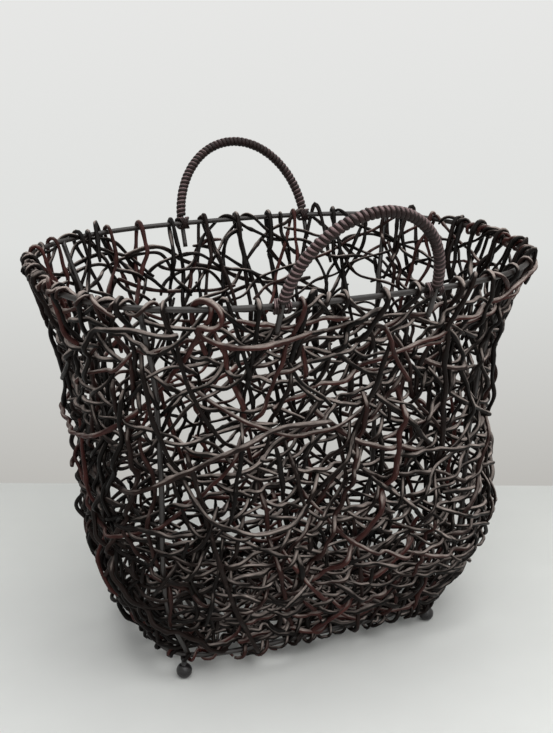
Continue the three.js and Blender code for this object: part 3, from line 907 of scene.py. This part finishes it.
class Weave:
    """All points of the vines and rods in one row, with what holds for each of them."""

    def __init__(self, vines, rods):
        lines = [*vines, *rods]
        lengths = [len(line.points) for line in lines]
        rows = zip(*((line.points, line.out, line.near, line.room) for line in lines))
        self.points, self.out, self.near, self.room = (np.concatenate(row) for row in rows)
        self.radius = np.repeat([line.radius for line in lines], lengths)
        self.owner = np.repeat([*range(len(vines)), *[-1] * len(rods)], lengths)
        self.free = (self.owner >= 0).astype(float)
        self.reach = 2 * self.radius.max() + SEARCH_SLACK

    def find_pairs(self):
        """Pairs of points that may touch, apart from neighbours on one vine and points of two rods."""
        i, j = close_pairs(self.points, self.reach)
        apart = (self.owner[i] != self.owner[j]) | (np.abs(i - j) > OWN_POINTS)
        apart &= (self.owner[i] >= 0) | (self.owner[j] >= 0)
        self.i, self.j = i[apart], j[apart]
        self.side = np.where((self.i * SHUFFLE + self.j) % 2 == 0, 1.0, -1.0)

    def shoves(self):
        """How far each point has to go so that its pairs no longer cut into each other."""
        gap = self.points[self.i] - self.points[self.j]
        need = self.radius[self.i] + self.radius[self.j]
        short = need - np.linalg.norm(gap, axis=1)
        hit = short > 0
        a, b, gap, need, short = self.i[hit], self.j[hit], gap[hit], need[hit], short[hit]
        facing = np.sign((self.out[a] * self.out[b]).sum(axis=1) + TINY)
        normal = unit(self.out[a] + self.out[b] * facing[:, None])
        deep = (gap * normal).sum(axis=1)
        sideways = gap - deep[:, None] * normal
        sign = np.where(np.abs(deep) > LEVEL_SHARE * need, np.sign(deep), self.side[hit])
        level = np.maximum(self.near[a], self.near[b])
        stress = (1 - level) * STRESS * need * sign
        slip = SIDEWAYS + (1 - SIDEWAYS) * level
        way = unit(normal * (deep + stress)[:, None] + sideways * slip[:, None])
        share = self.free[a] / np.maximum(self.free[a] + self.free[b], 1)
        push_a = way * (short * share)[:, None]
        push_b = -way * (short * (1 - share))[:, None]
        count = len(self.points)
        total = np.empty_like(self.points)
        for k in range(3):
            total[:, k] = np.bincount(a, push_a[:, k], count) + np.bincount(b, push_b[:, k], count)
        hits = np.bincount(a, minlength=count) + np.bincount(b, minlength=count)
        return total / np.maximum(hits, 1)[:, None]

    def crossing(self):
        """Which points lie close to another vine or to a rod."""
        i, j = close_pairs(self.points, self.reach)
        others = self.owner[i] != self.owner[j]
        crossing = np.zeros(len(self.points), bool)
        crossing[i[others]] = True
        crossing[j[others]] = True
        return crossing


def push_apart(weave):
    """Moves the vines until they lie on each other and on the rods, each bending as smoothly as it can."""
    index = np.arange(len(weave.points))
    joined = (weave.owner[1:] == weave.owner[:-1]) & (weave.owner[1:] >= 0)
    before = index - np.concatenate([[False], joined])
    after = index + np.concatenate([joined, [False]])
    free = weave.free[:, None]
    start = weave.points.copy()
    moved = np.zeros_like(start)
    for turn in range(PUSHES):
        if turn % SEARCH_TURNS == 0:
            weave.find_pairs()
        total = weave.shoves()
        tangent = unit(weave.points[after] - weave.points[before])
        total -= (total * tangent).sum(axis=1)[:, None] * tangent
        moved += OVERSHOOT * total * free
        for _ in range(SMOOTHINGS):
            moved += STIFFNESS * (moved[before] + moved[after] - 2 * moved) * free
        moved *= HOLD
        excess = np.maximum((moved * weave.out).sum(axis=1) - weave.room, 0) * (1 - weave.near)
        moved -= weave.out * excess[:, None]
        weave.points = start + moved


def take_points(vines, weave):
    """Gives the vines their woven points, and cuts most free ends back to the last vine that they cross."""
    crossing = weave.crossing()
    at = 0
    for vine in vines:
        onward = at + len(vine.points)
        vine.points = weave.points[at:onward]
        held = np.nonzero(crossing[at:onward])[0]
        if len(held) and rng.random() > FREE_END_SHARE:
            first = min(max(held[0] - 1, 0), vine.solid[0])
            last = max(held[-1] + 2, vine.solid[1])
            vine.points = vine.points[first:last]
        at = onward


# Meshes
def wear_and_highlight_at(points, ring):
    """How much each corner of a tube is worn, with a painted highlight on the sides facing up and out and
    painted shade towards the base and at the low left end. ring gives its corners' directions from points.
    """
    outward = unit(points / (RIM[0] ** 2, RIM[1] ** 2, np.inf))[:, None]
    # Worn colour and painted highlight on the sides that face up and out
    wear = TOP_WEAR_AND_HIGHLIGHT * ring[..., 2] + OUTSIDE_WEAR_AND_HIGHLIGHT * (ring * outward).sum(axis=-1)
    # Painted shade towards the base
    wear *= np.interp(points[:, 2], (BASE[2], WAIST[2]), (SHADE_SCALE_AT_BASE, SHADE_SCALE_AT_WAIST))[:, None]
    # Painted shade at the low left end
    left = np.interp(-points[:, 0] / BELLY[0], SHADED_LEFT_END, (0, 1))
    low = np.interp(points[:, 2], (WAIST[2], SHOULDER[2]), (1, 0))
    wear *= (1 - LEFT_END_SHADE * left * low)[:, None]
    return np.clip(wear / np.linalg.norm(ring, axis=-1), 0, 1)


def put(name, data):
    """A new object in the scene."""
    made = bpy.data.objects.new(name, data)
    scene.collection.objects.link(made)
    return made


class Shell:
    """Corners and faces of one piece made of tubes, with each corner's tone, how worn it is with painted
    highlight and painted shade, and its place on its tube.
    """

    def __init__(self):
        self.corners, self.faces, self.tones, self.barks, self.wears, self.count = [], [], [], [], [], 0

    def tube(self, points, radius, sides=SIDES, tone=0.0, across=None, closed=False, squash=1.0, shift=0.0):
        """A tube of the given radius at each point. across is a direction across it where that matters."""
        if closed:
            ends = unit(np.roll(points, -1, axis=0) - np.roll(points, 1, axis=0))
            first = unit(np.cross(ends, across))
            second = across
        elif across is None:
            first, second = carried_frames(points)
        else:
            tangents = unit(np.gradient(points, axis=0))
            first = unit(across - tangents * (across * tangents).sum(axis=1)[:, None])
            second = np.cross(tangents, first)
        radius = np.broadcast_to(radius, (len(points), sides))
        angle = 2 * np.pi * np.arange(sides) / sides
        wide = first[:, None] * (squash * np.cos(angle))[None, :, None]
        ring = wide + second[:, None] * np.sin(angle)[None, :, None]
        corners = points[:, None] + ring * radius[..., None]
        bark = np.empty((len(points), sides, 3))
        bark[..., 0] = (run_along(points) + shift)[:, None]
        bark[..., 1] = radius * np.cos(angle)
        bark[..., 2] = radius * np.sin(angle)
        here = np.arange(len(points) * sides).reshape(len(points), sides) + self.count
        onward = np.roll(here, -1, axis=0) if closed else here[1:]
        rings = here if closed else here[:-1]
        quads = np.stack([rings, np.roll(rings, -1, axis=1), np.roll(onward, -1, axis=1), onward], axis=-1)
        self.faces += quads.reshape(-1, 4).tolist()
        if not closed:
            self.faces += [here[0][::-1].tolist(), here[-1].tolist()]
        self.corners.append(corners.reshape(-1, 3))
        self.wears.append(wear_and_highlight_at(points, ring).ravel())
        self.barks.append(bark.reshape(-1, 3))
        self.tones.append(np.full(len(points) * sides, tone))
        self.count += len(points) * sides

    def piece(self, name, material, slot, nodes=()):
        """Makes the piece, which stands for those nodes of the solids."""
        mesh = bpy.data.meshes.new(name)
        mesh.from_pydata(np.concatenate(self.corners).tolist(), [], self.faces)
        # Tones, and the worn colour's share with painted highlight and painted shade
        for kind, values in (("tone", self.tones), ("wear", self.wears)):
            mesh.attributes.new(kind, "FLOAT", "POINT").data.foreach_set("value", np.concatenate(values))
        bark = mesh.attributes.new("bark", "FLOAT_VECTOR", "POINT")
        bark.data.foreach_set("vector", np.concatenate(self.barks).ravel())
        mesh.polygons.foreach_set("use_smooth", np.ones(len(mesh.polygons), bool))
        mesh.materials.append(material)
        piece = put(name, mesh)
        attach(piece, "root")
        if nodes:
            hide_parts(*nodes)


def tube_piece(node, suffix, material, slot, points, radius, **shape):
    """A piece that is one tube and stands for one node of the solids."""
    shell = Shell()
    shell.tube(points, radius, **shape)
    shell.piece(f"{node}_{suffix}", material, slot, [node])


def vine_radius(vine, points):
    """A vine's radius at each corner: tapered ends, a lumpy stem and small knots."""
    count = len(points)
    run = np.arange(count) * MESH_STEP
    wavy = 1 + LUMPS * smooth_noise(count, LUMP_WAVE)
    knots = np.zeros(count)
    at = rng.uniform(0, KNOT_GAP[1])
    while at < run[-1]:
        knots += rng.uniform(*KNOT_SIZE) * fading(run - at, KNOT_RUN)
        at += rng.uniform(*KNOT_GAP)
    ends = np.minimum(1, END_SHARE + np.minimum(run, run[-1] - run) / END_RUN)
    oval = smooth_noise(count, OVAL_WAVE)[:, None] * OVAL
    angle = 2 * np.pi * np.arange(SIDES) / SIDES + rng.uniform(0, np.pi)
    return vine.radius * ((wavy + knots) * ends)[:, None] * (1 + oval * np.cos(2 * angle))


def vines_piece(name, members, nodes=()):
    shell = Shell()
    for vine in members:
        points = spline(vine.points, MESH_STEP)
        radius = vine_radius(vine, points)
        shell.tube(points, radius, tone=vine.tone, shift=rng.uniform(0, BARK_SHIFT))
    shell.piece(name, VINE, "vine", nodes)


def make_vines(vines):
    """A piece for each vine of the solids, and pieces of a few vines each for the rest."""
    kinds = {}
    for vine in vines:
        if vine.node:
            vines_piece(vine.name + "_bark", [vine], [vine.node])
        else:
            kinds.setdefault(vine.name.rsplit("_", 1)[0], []).append(vine)
    for kind, members in kinds.items():
        for first in range(0, len(members), BUNDLE):
            vines_piece(f"{kind}s_{first // BUNDLE + 1}", members[first : first + BUNDLE])


# Rods of the frame
def ring_line(rise):
    place, out, _, _, _ = wall_frame(np.arange(RING_POINTS) / RING_POINTS, np.full(RING_POINTS, rise))
    return place, out


def post_line(round_):
    return wall_point(np.full(POST_POINTS, round_), np.linspace(0, 1, POST_POINTS))


def cross_rod_line(node):
    low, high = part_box(node)
    middle = middle_of(node)
    return np.linspace((middle.x, low.y, middle.z), (middle.x, high.y, middle.z), POST_POINTS)


def make_frame():
    for node, rise in (("rim_ring", 1.0), ("base_ring", 0.0)):
        line, _ = ring_line(rise)
        up = np.tile((0.0, 0.0, 1.0), (len(line), 1))
        tube_piece(node, "rod", IRON, "iron", line, ROD_RADIUS, sides=RING_SIDES, across=up, closed=True)
    for round_ in POST_ROUNDS:
        line = post_line(round_)
        middle = Vector(line.mean(axis=0))
        node = min(nodes_with("post_"), key=lambda n: (middle_of(n) - middle).length)
        tube_piece(node, "rod", IRON, "iron", line, ROD_RADIUS, sides=ROD_SIDES)
    for node in nodes_with("cross_rod"):
        line = cross_rod_line(node)
        tube_piece(node, "rod", IRON, "iron", line, CROSS_ROD_RADIUS, sides=ROD_SIDES)


def make_feet():
    for node in nodes_with("foot"):
        low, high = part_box(node)
        middle = middle_of(node)
        radius = (high.x - low.x) / 2
        centre = low.z + math.sqrt(radius**2 - FOOT_FLAT**2)
        angle = np.linspace(-math.acos(FOOT_FLAT / radius), math.acos(NECK_RADIUS / radius), BALL_STEPS)
        ball = np.stack([radius * np.cos(angle), centre + radius * np.sin(angle)], axis=1)
        neck = [(NECK_RADIUS * share, z) for share, z in zip(NECK_SHARES, (centre + radius, high.z))]
        profile = np.vstack([[(FOOT_FLAT / 2, low.z + FOOT_FLAT_RISE)], ball, neck])
        line = np.array([(middle.x, middle.y, z) for z in profile[:, 1]])
        across = np.tile((1.0, 0.0, 0.0), (len(line), 1))
        tube_piece(node, "ball", FOOT, "iron", line, profile[:, :1], sides=FOOT_SIDES, across=across)


# Handles: a rod each, wound with cane and lashed to the rim
def coil(line, radius, pitch, steps):
    """A helix round a line, with the direction outward from the line at each of its points."""
    fine = spline(line, pitch / steps)
    first, second = carried_frames(fine)
    away = turned(first, second, 2 * np.pi * np.arange(len(fine)) / steps)
    return fine + radius * away, away


def handle_line(which):
    return spline(centre_line("handle_rod_" + which), STEP)


def make_handle(which, line):
    node = "handle_rod_" + which
    tube_piece(node, "iron", IRON, "iron", line, HANDLE_CORE, sides=ROD_SIDES)
    node = "handle_cane_" + which
    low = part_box(node)[0].z
    wound = line[line[:, 2] > low]
    middle, away = coil(wound, HANDLE_CORE + CANE_THICKNESS / 2, CANE_PITCH, CANE_STEPS_PER_TURN)
    waver = 1 + CANE_WAVER * smooth_noise(len(middle), CANE_WAVE)
    width = (CANE_WIDTH / 2 * waver)[:, None]
    flat = CANE_THICKNESS / CANE_WIDTH
    tube_piece(node, "wound", CANE, "cane", middle, width, sides=CANE_SIDES, across=away, squash=flat)


def make_lashing(node, line):
    """A binding that crosses over the handle's leg and passes behind the rim rod, several times."""
    ring, ring_out = ring_line(1.0)
    nearest = np.argmin(np.linalg.norm(ring - np.array(middle_of(node)), axis=1))
    rod, out = ring[nearest], unit(ring_out[nearest] * (1, 1, 0))
    along = unit(ring[(nearest + 1) % len(ring)] - ring[nearest - 1])
    leg = line[np.argmin(np.linalg.norm(line - rod, axis=1))]
    depth = float((leg - rod) @ out)
    up = np.array([0.0, 0.0, 1.0])
    turn = np.linspace(0, 2 * np.pi * LASHING_TURNS, LASHING_STEPS_PER_TURN * LASHING_TURNS)
    drift = np.linspace(-1, 1, len(turn)) * LASHING_SPREAD
    reach = ROD_RADIUS + LASHING_RADIUS
    outer = np.where(np.cos(turn) > 0, depth + HANDLE_CORE + LASHING_RADIUS, reach)
    points = (
        rod
        + out * (outer * np.cos(turn))[:, None]
        + up * (reach * LASHING_STRETCH * np.sin(turn))[:, None]
        + along * (LASHING_SWING * np.cos(turn / 2) + drift)[:, None]
    )
    points = spline(points, LASHING_STEP)
    shape = {"sides": LASHING_SIDES, "tone": LASHING_TONE}
    tube_piece(node, "cane", CANE, "cane", points, LASHING_RADIUS, **shape)


# Materials
class Nodes:
    """Builds the nodes of a material or world. A socket is set with a value, or linked to an output."""

    def __init__(self, owner, shader="Principled BSDF", output="Material Output"):
        owner.use_nodes = True
        self.owner = owner
        self.tree = owner.node_tree
        self.shader = self.tree.nodes[shader]
        self.output = self.tree.nodes[output]

    def add(self, kind, settings=(), **inputs):
        node = self.tree.nodes.new(kind)
        for key, value in dict(settings).items():
            setattr(node, key, value)
        self.join(node, **inputs)
        return node

    def join(self, node, **inputs):
        for key, value in inputs.items():
            name = key.replace("_", " ")
            socket = node.inputs[int(key[1:])] if key[0] == "i" and key[1:].isdigit() else node.inputs[name]
            if isinstance(value, bpy.types.NodeSocket):
                self.tree.links.new(value, socket)
            else:
                socket.default_value = value

    def attribute(self, name, output="Fac"):
        return self.add("ShaderNodeAttribute", {"attribute_name": name}).outputs[output]

    def calculate(self, operation, first, second):
        return self.add("ShaderNodeMath", {"operation": operation}, i0=first, i1=second).outputs[0]

    def ramp(self, factor, stops):
        node = self.add("ShaderNodeValToRGB", i0=factor)
        elements = node.color_ramp.elements
        while len(elements) < len(stops):
            elements.new(1.0)
        for element, (place, colour) in zip(elements, stops):
            element.position = place
            element.color = (*colour, 1)
        return node.outputs["Color"]

    def levels(self, factor, *stops):
        """A ramp between plain levels."""
        return self.ramp(factor, [(place, (level,) * 3) for place, level in stops])

    def noise(self, vector, scale, detail):
        inputs = {"Vector": vector, "Scale": scale, "Detail": detail, "Roughness": NOISE_ROUGHNESS}
        return self.add("ShaderNodeTexNoise", **inputs).outputs["Fac"]

    def bark_noise(self, scales, detail):
        """Noise with its own scale along the stem, and others across it."""
        bark = self.attribute("bark", "Vector")
        stretched = self.add("ShaderNodeMapping", Vector=bark, Scale=scales).outputs["Vector"]
        return self.noise(stretched, 1.0, detail)

    def blend(self, kind, factor, first, second):
        node = self.add("ShaderNodeMix", {"data_type": "RGBA", "blend_type": kind})
        self.join(node, i0=factor, i6=first, i7=second)
        return node.outputs[2]

    def bump(self, height, strength, distance, **normal):
        node = self.add("ShaderNodeBump", Height=height, Strength=strength, Distance=distance, **normal)
        return node.outputs["Normal"]

    def seen(self):
        """1 for what the camera sees, also in gloss or through glass, and 0 for what only gives light."""
        rays = self.add("ShaderNodeLightPath").outputs
        seen = rays["Is Camera Ray"]
        for kind in ("Is Glossy Ray", "Is Transmission Ray"):
            seen = self.calculate("MAXIMUM", seen, rays[kind])
        return seen

    def layer(self, share, below, above):
        return self.add("ShaderNodeMixShader", i0=share, i1=below, i2=above).outputs[0]


def vine_material():
    """Dark stained bark: streaks along the stem, paler worn ridges that are also a painted highlight on the
    sides facing up and out, a few redder vines and a dull sheen.
    """
    made = Nodes(bpy.data.materials.new("stained_vine"))
    stem = made.ramp(made.attribute("tone"), VINE_COLOURS)
    streaks = made.bark_noise((110, 900, 900), 4.0)
    patches = made.bark_noise((42, 140, 140), 2.0)
    light = made.ramp(streaks, ((0.3, (0.45, 0.42, 0.4)), (0.7, (1.6, 1.55, 1.5))))
    cloudy = made.ramp(patches, ((0.35, (0.6, 0.58, 0.58)), (0.7, (1.7, 1.6, 1.55))))
    stained = made.blend("MULTIPLY", 0.7, made.blend("MULTIPLY", 0.8, stem, light), cloudy)
    uneven = made.levels(patches, (0.34, 0.6), (0.64, 1.35))
    # Worn bark and painted highlight, broken up along the stem
    rubbed = made.calculate("MULTIPLY", made.attribute("wear"), uneven)
    share = made.levels(rubbed, (0.42, 0.0), (0.85, 0.9))
    worn_and_highlit_mottled = made.blend("MULTIPLY", 0.8, (*WORN_AND_HIGHLIGHT_COLOUR, 1), light)
    fine = made.bump(streaks, 0.6, STREAK_RELIEF)
    made.join(
        made.shader,
        Base_Color=made.blend("MIX", share, stained, worn_and_highlit_mottled),
        Roughness=made.levels(streaks, (0.25, 0.36), (0.75, 0.56)),
        Normal=made.bump(patches, 0.8, PATCH_RELIEF, Normal=fine),
        Specular_IOR_Level=0.11,
    )
    return made.owner


def iron_material():
    """Blackened iron rod, with a grey sheen where it is rubbed."""
    made = Nodes(bpy.data.materials.new("dark_iron"))
    grain = made.bark_noise((160, 500, 500), 4.0)
    patches = made.bark_noise((30, 90, 90), 2.0)
    made.join(
        made.shader,
        Base_Color=made.ramp(patches, IRON_COLOURS),
        Roughness=made.levels(grain, (0.3, 0.28), (0.7, 0.48)),
        Normal=made.bump(grain, 0.4, GRAIN_RELIEF),
        Specular_IOR_Level=0.55,
    )
    return made.owner


def cane_material():
    """Stained cane: reddish brown, with fine grooves along the strip, darker patches, and paler worn ridges
    that are also a painted highlight on the sides facing up and out.
    """
    made = Nodes(bpy.data.materials.new("stained_cane"))
    fibres = made.bark_noise((50, 1800, 1800), 4.0)
    patches = made.bark_noise((45, 60, 60), 3.0)
    shade = made.ramp(fibres, ((0.3, (0.5, 0.48, 0.46)), (0.7, (1.4, 1.35, 1.3))))
    stained = made.blend("MULTIPLY", 0.6, made.ramp(patches, CANE_COLOURS), shade)
    uneven = made.calculate("ADD", patches, 0.5)
    # Worn cane and painted highlight, broken up by the patches
    rubbed = made.calculate("MULTIPLY", made.attribute("wear"), uneven)
    share = made.levels(rubbed, (0.5, 0.0), (1.0, 0.75))
    made.join(
        made.shader,
        Base_Color=made.blend("MIX", share, stained, (*CANE_WORN_AND_HIGHLIGHT, 1)),
        Roughness=made.levels(fibres, (0.3, 0.38), (0.7, 0.58)),
        Normal=made.bump(fibres, 0.5, GRAIN_RELIEF),
        Specular_IOR_Level=0.22,
    )
    return made.owner


def foot_material():
    """Black painted ball, slightly uneven."""
    made = Nodes(bpy.data.materials.new("black_foot"))
    uneven = made.noise(made.attribute("bark", "Vector"), 260.0, 3.0)
    made.join(
        made.shader,
        Base_Color=made.ramp(uneven, FOOT_COLOURS),
        Roughness=made.levels(uneven, (0.3, 0.24), (0.7, 0.4)),
        Normal=made.bump(uneven, 0.25, FOOT_RELIEF),
    )
    return made.owner


def floor_material():
    """A pale floor, with painted shade that darkens it towards the junction line. The camera sees a wall's
    tones beyond the junction line, with painted shade that darkens them towards the floor, and an even tone
    far off.
    """
    made = Nodes(bpy.data.materials.new("pale_floor"))
    place = made.add("ShaderNodeTexCoord").outputs["Object"]
    along = {"operation": "DOT_PRODUCT"}
    away = made.add("ShaderNodeVectorMath", along, i0=place, i1=FLOOR_HEADING).outputs["Value"]
    reach = made.add("ShaderNodeVectorMath", {"operation": "LENGTH"}, i0=place).outputs["Value"]
    # Painted shade: the floor darkens towards the junction with the wall
    shade = made.ramp(made.calculate("ADD", away, FLOOR_SHIFT), FLOOR_SHADED_COLOURS)
    grain = made.levels(made.noise(place, 14.0, 2.0), (0.3, 0.975), (0.7, 1.0))
    colour = made.blend("MULTIPLY", 1.0, shade, grain)
    made.join(made.shader, Base_Color=colour, Roughness=0.8, Specular_IOR_Level=0.2)
    nearness = made.calculate("DIVIDE", WALL_BACK + JUNCTION, made.calculate("ADD", away, WALL_BACK))
    # The wall's tones, with painted shade that darkens them towards the floor
    wall = made.ramp(nearness, WALL_SHADED_COLOURS)
    surface = made.shader.outputs[0]
    seen = made.seen()
    for distance, low, high, tone in (
        (reach, *FAR_FLOOR, (*FAR_COLOUR, 1)),
        (away, JUNCTION, JUNCTION + JUNCTION_SOFTNESS, wall),
    ):
        beyond = made.add("ShaderNodeMapRange", Value=distance, From_Min=low, From_Max=high)
        glow = made.add("ShaderNodeEmission", Color=tone, Strength=1.0).outputs[0]
        share = made.calculate("MULTIPLY", beyond.outputs["Result"], seen)
        surface = made.layer(share, surface, glow)
    made.join(made.output, Surface=surface)
    return made.owner


# Stage, lights and camera
def make_stage():
    mesh = bpy.data.meshes.new("floor")
    corners = [(x * FLOOR_HALF, y * FLOOR_HALF, 0) for x, y in ((-1, -1), (1, -1), (1, 1), (-1, 1))]
    mesh.from_pydata(corners, [], [(0, 1, 2, 3)])
    mesh.materials.append(floor_material())
    put("floor", mesh)


def make_lights():
    for name, (place, size, power) in LIGHTS.items():
        light = bpy.data.lights.new(name, "AREA")
        light.shape = "RECTANGLE"
        light.size, light.size_y = size
        light.energy = power
        lamp = put(name, light)
        lamp.location = place
        lamp.rotation_euler = (Vector(LIGHT_TARGET) - Vector(place)).to_track_quat("-Z", "Y").to_euler()


def make_world():
    """Even light from all sides. The camera sees an even pale tone instead, as on the far floor."""
    scene.world = bpy.data.worlds.new("studio")
    made = Nodes(scene.world, "Background", "World Output")
    made.join(made.shader, Color=(*WORLD_COLOUR, 1), Strength=WORLD_STRENGTH)
    pale = made.add("ShaderNodeBackground", Color=(*FAR_COLOUR, 1), Strength=1.0)
    made.join(made.output, Surface=made.layer(made.seen(), made.shader.outputs[0], pale.outputs[0]))


def make_camera():
    data = bpy.data.cameras.new("camera")
    data.lens = CAMERA_LENS
    data.clip_end = 3 * FLOOR_HALF
    camera = put("camera", data)
    ahead = Vector(CAMERA_AHEAD).normalized()
    level = ahead.cross(Vector((0, 0, 1))).normalized()
    upright = level.cross(ahead)
    roll = math.radians(CAMERA_ROLL)
    right = level * math.cos(roll) - upright * math.sin(roll)
    up = level * math.sin(roll) + upright * math.cos(roll)
    turn = Matrix((right, up, -ahead)).transposed().to_4x4()
    camera.matrix_world = Matrix.Translation(CAMERA_PLACE) @ turn
    scene.camera = camera


# The basket
VINE, IRON, CANE, FOOT = vine_material(), iron_material(), cane_material(), foot_material()
handles = {which: handle_line(which) for which in ("front", "back")}
vines = []
for make in (solid_vines, rim_vines, rim_wraps, base_wraps, rim_curl, rim_loops):
    vines += make()
for kind, settings in WALL_VINES.items():
    vines += wall_vines(kind, *settings)
vines += base_vines()
vines += outer_sweeps()
set_depths(vines)
rods = [Rod(ring_line(rise)[0], ROD_RADIUS) for rise in (0.0, 1.0)]
rods += [Rod(post_line(round_), ROD_RADIUS) for round_ in POST_ROUNDS]
rods += [Rod(line, HANDLE_CORE) for line in handles.values()]
weave = Weave(vines, rods)
push_apart(weave)
take_points(vines, weave)
make_vines(vines)
make_frame()
make_feet()
for which, line in handles.items():
    make_handle(which, line)
    for side in ("left", "right"):
        make_lashing(f"lashing_{which}_{side}", line)
make_stage()
make_lights()
make_world()
make_camera()
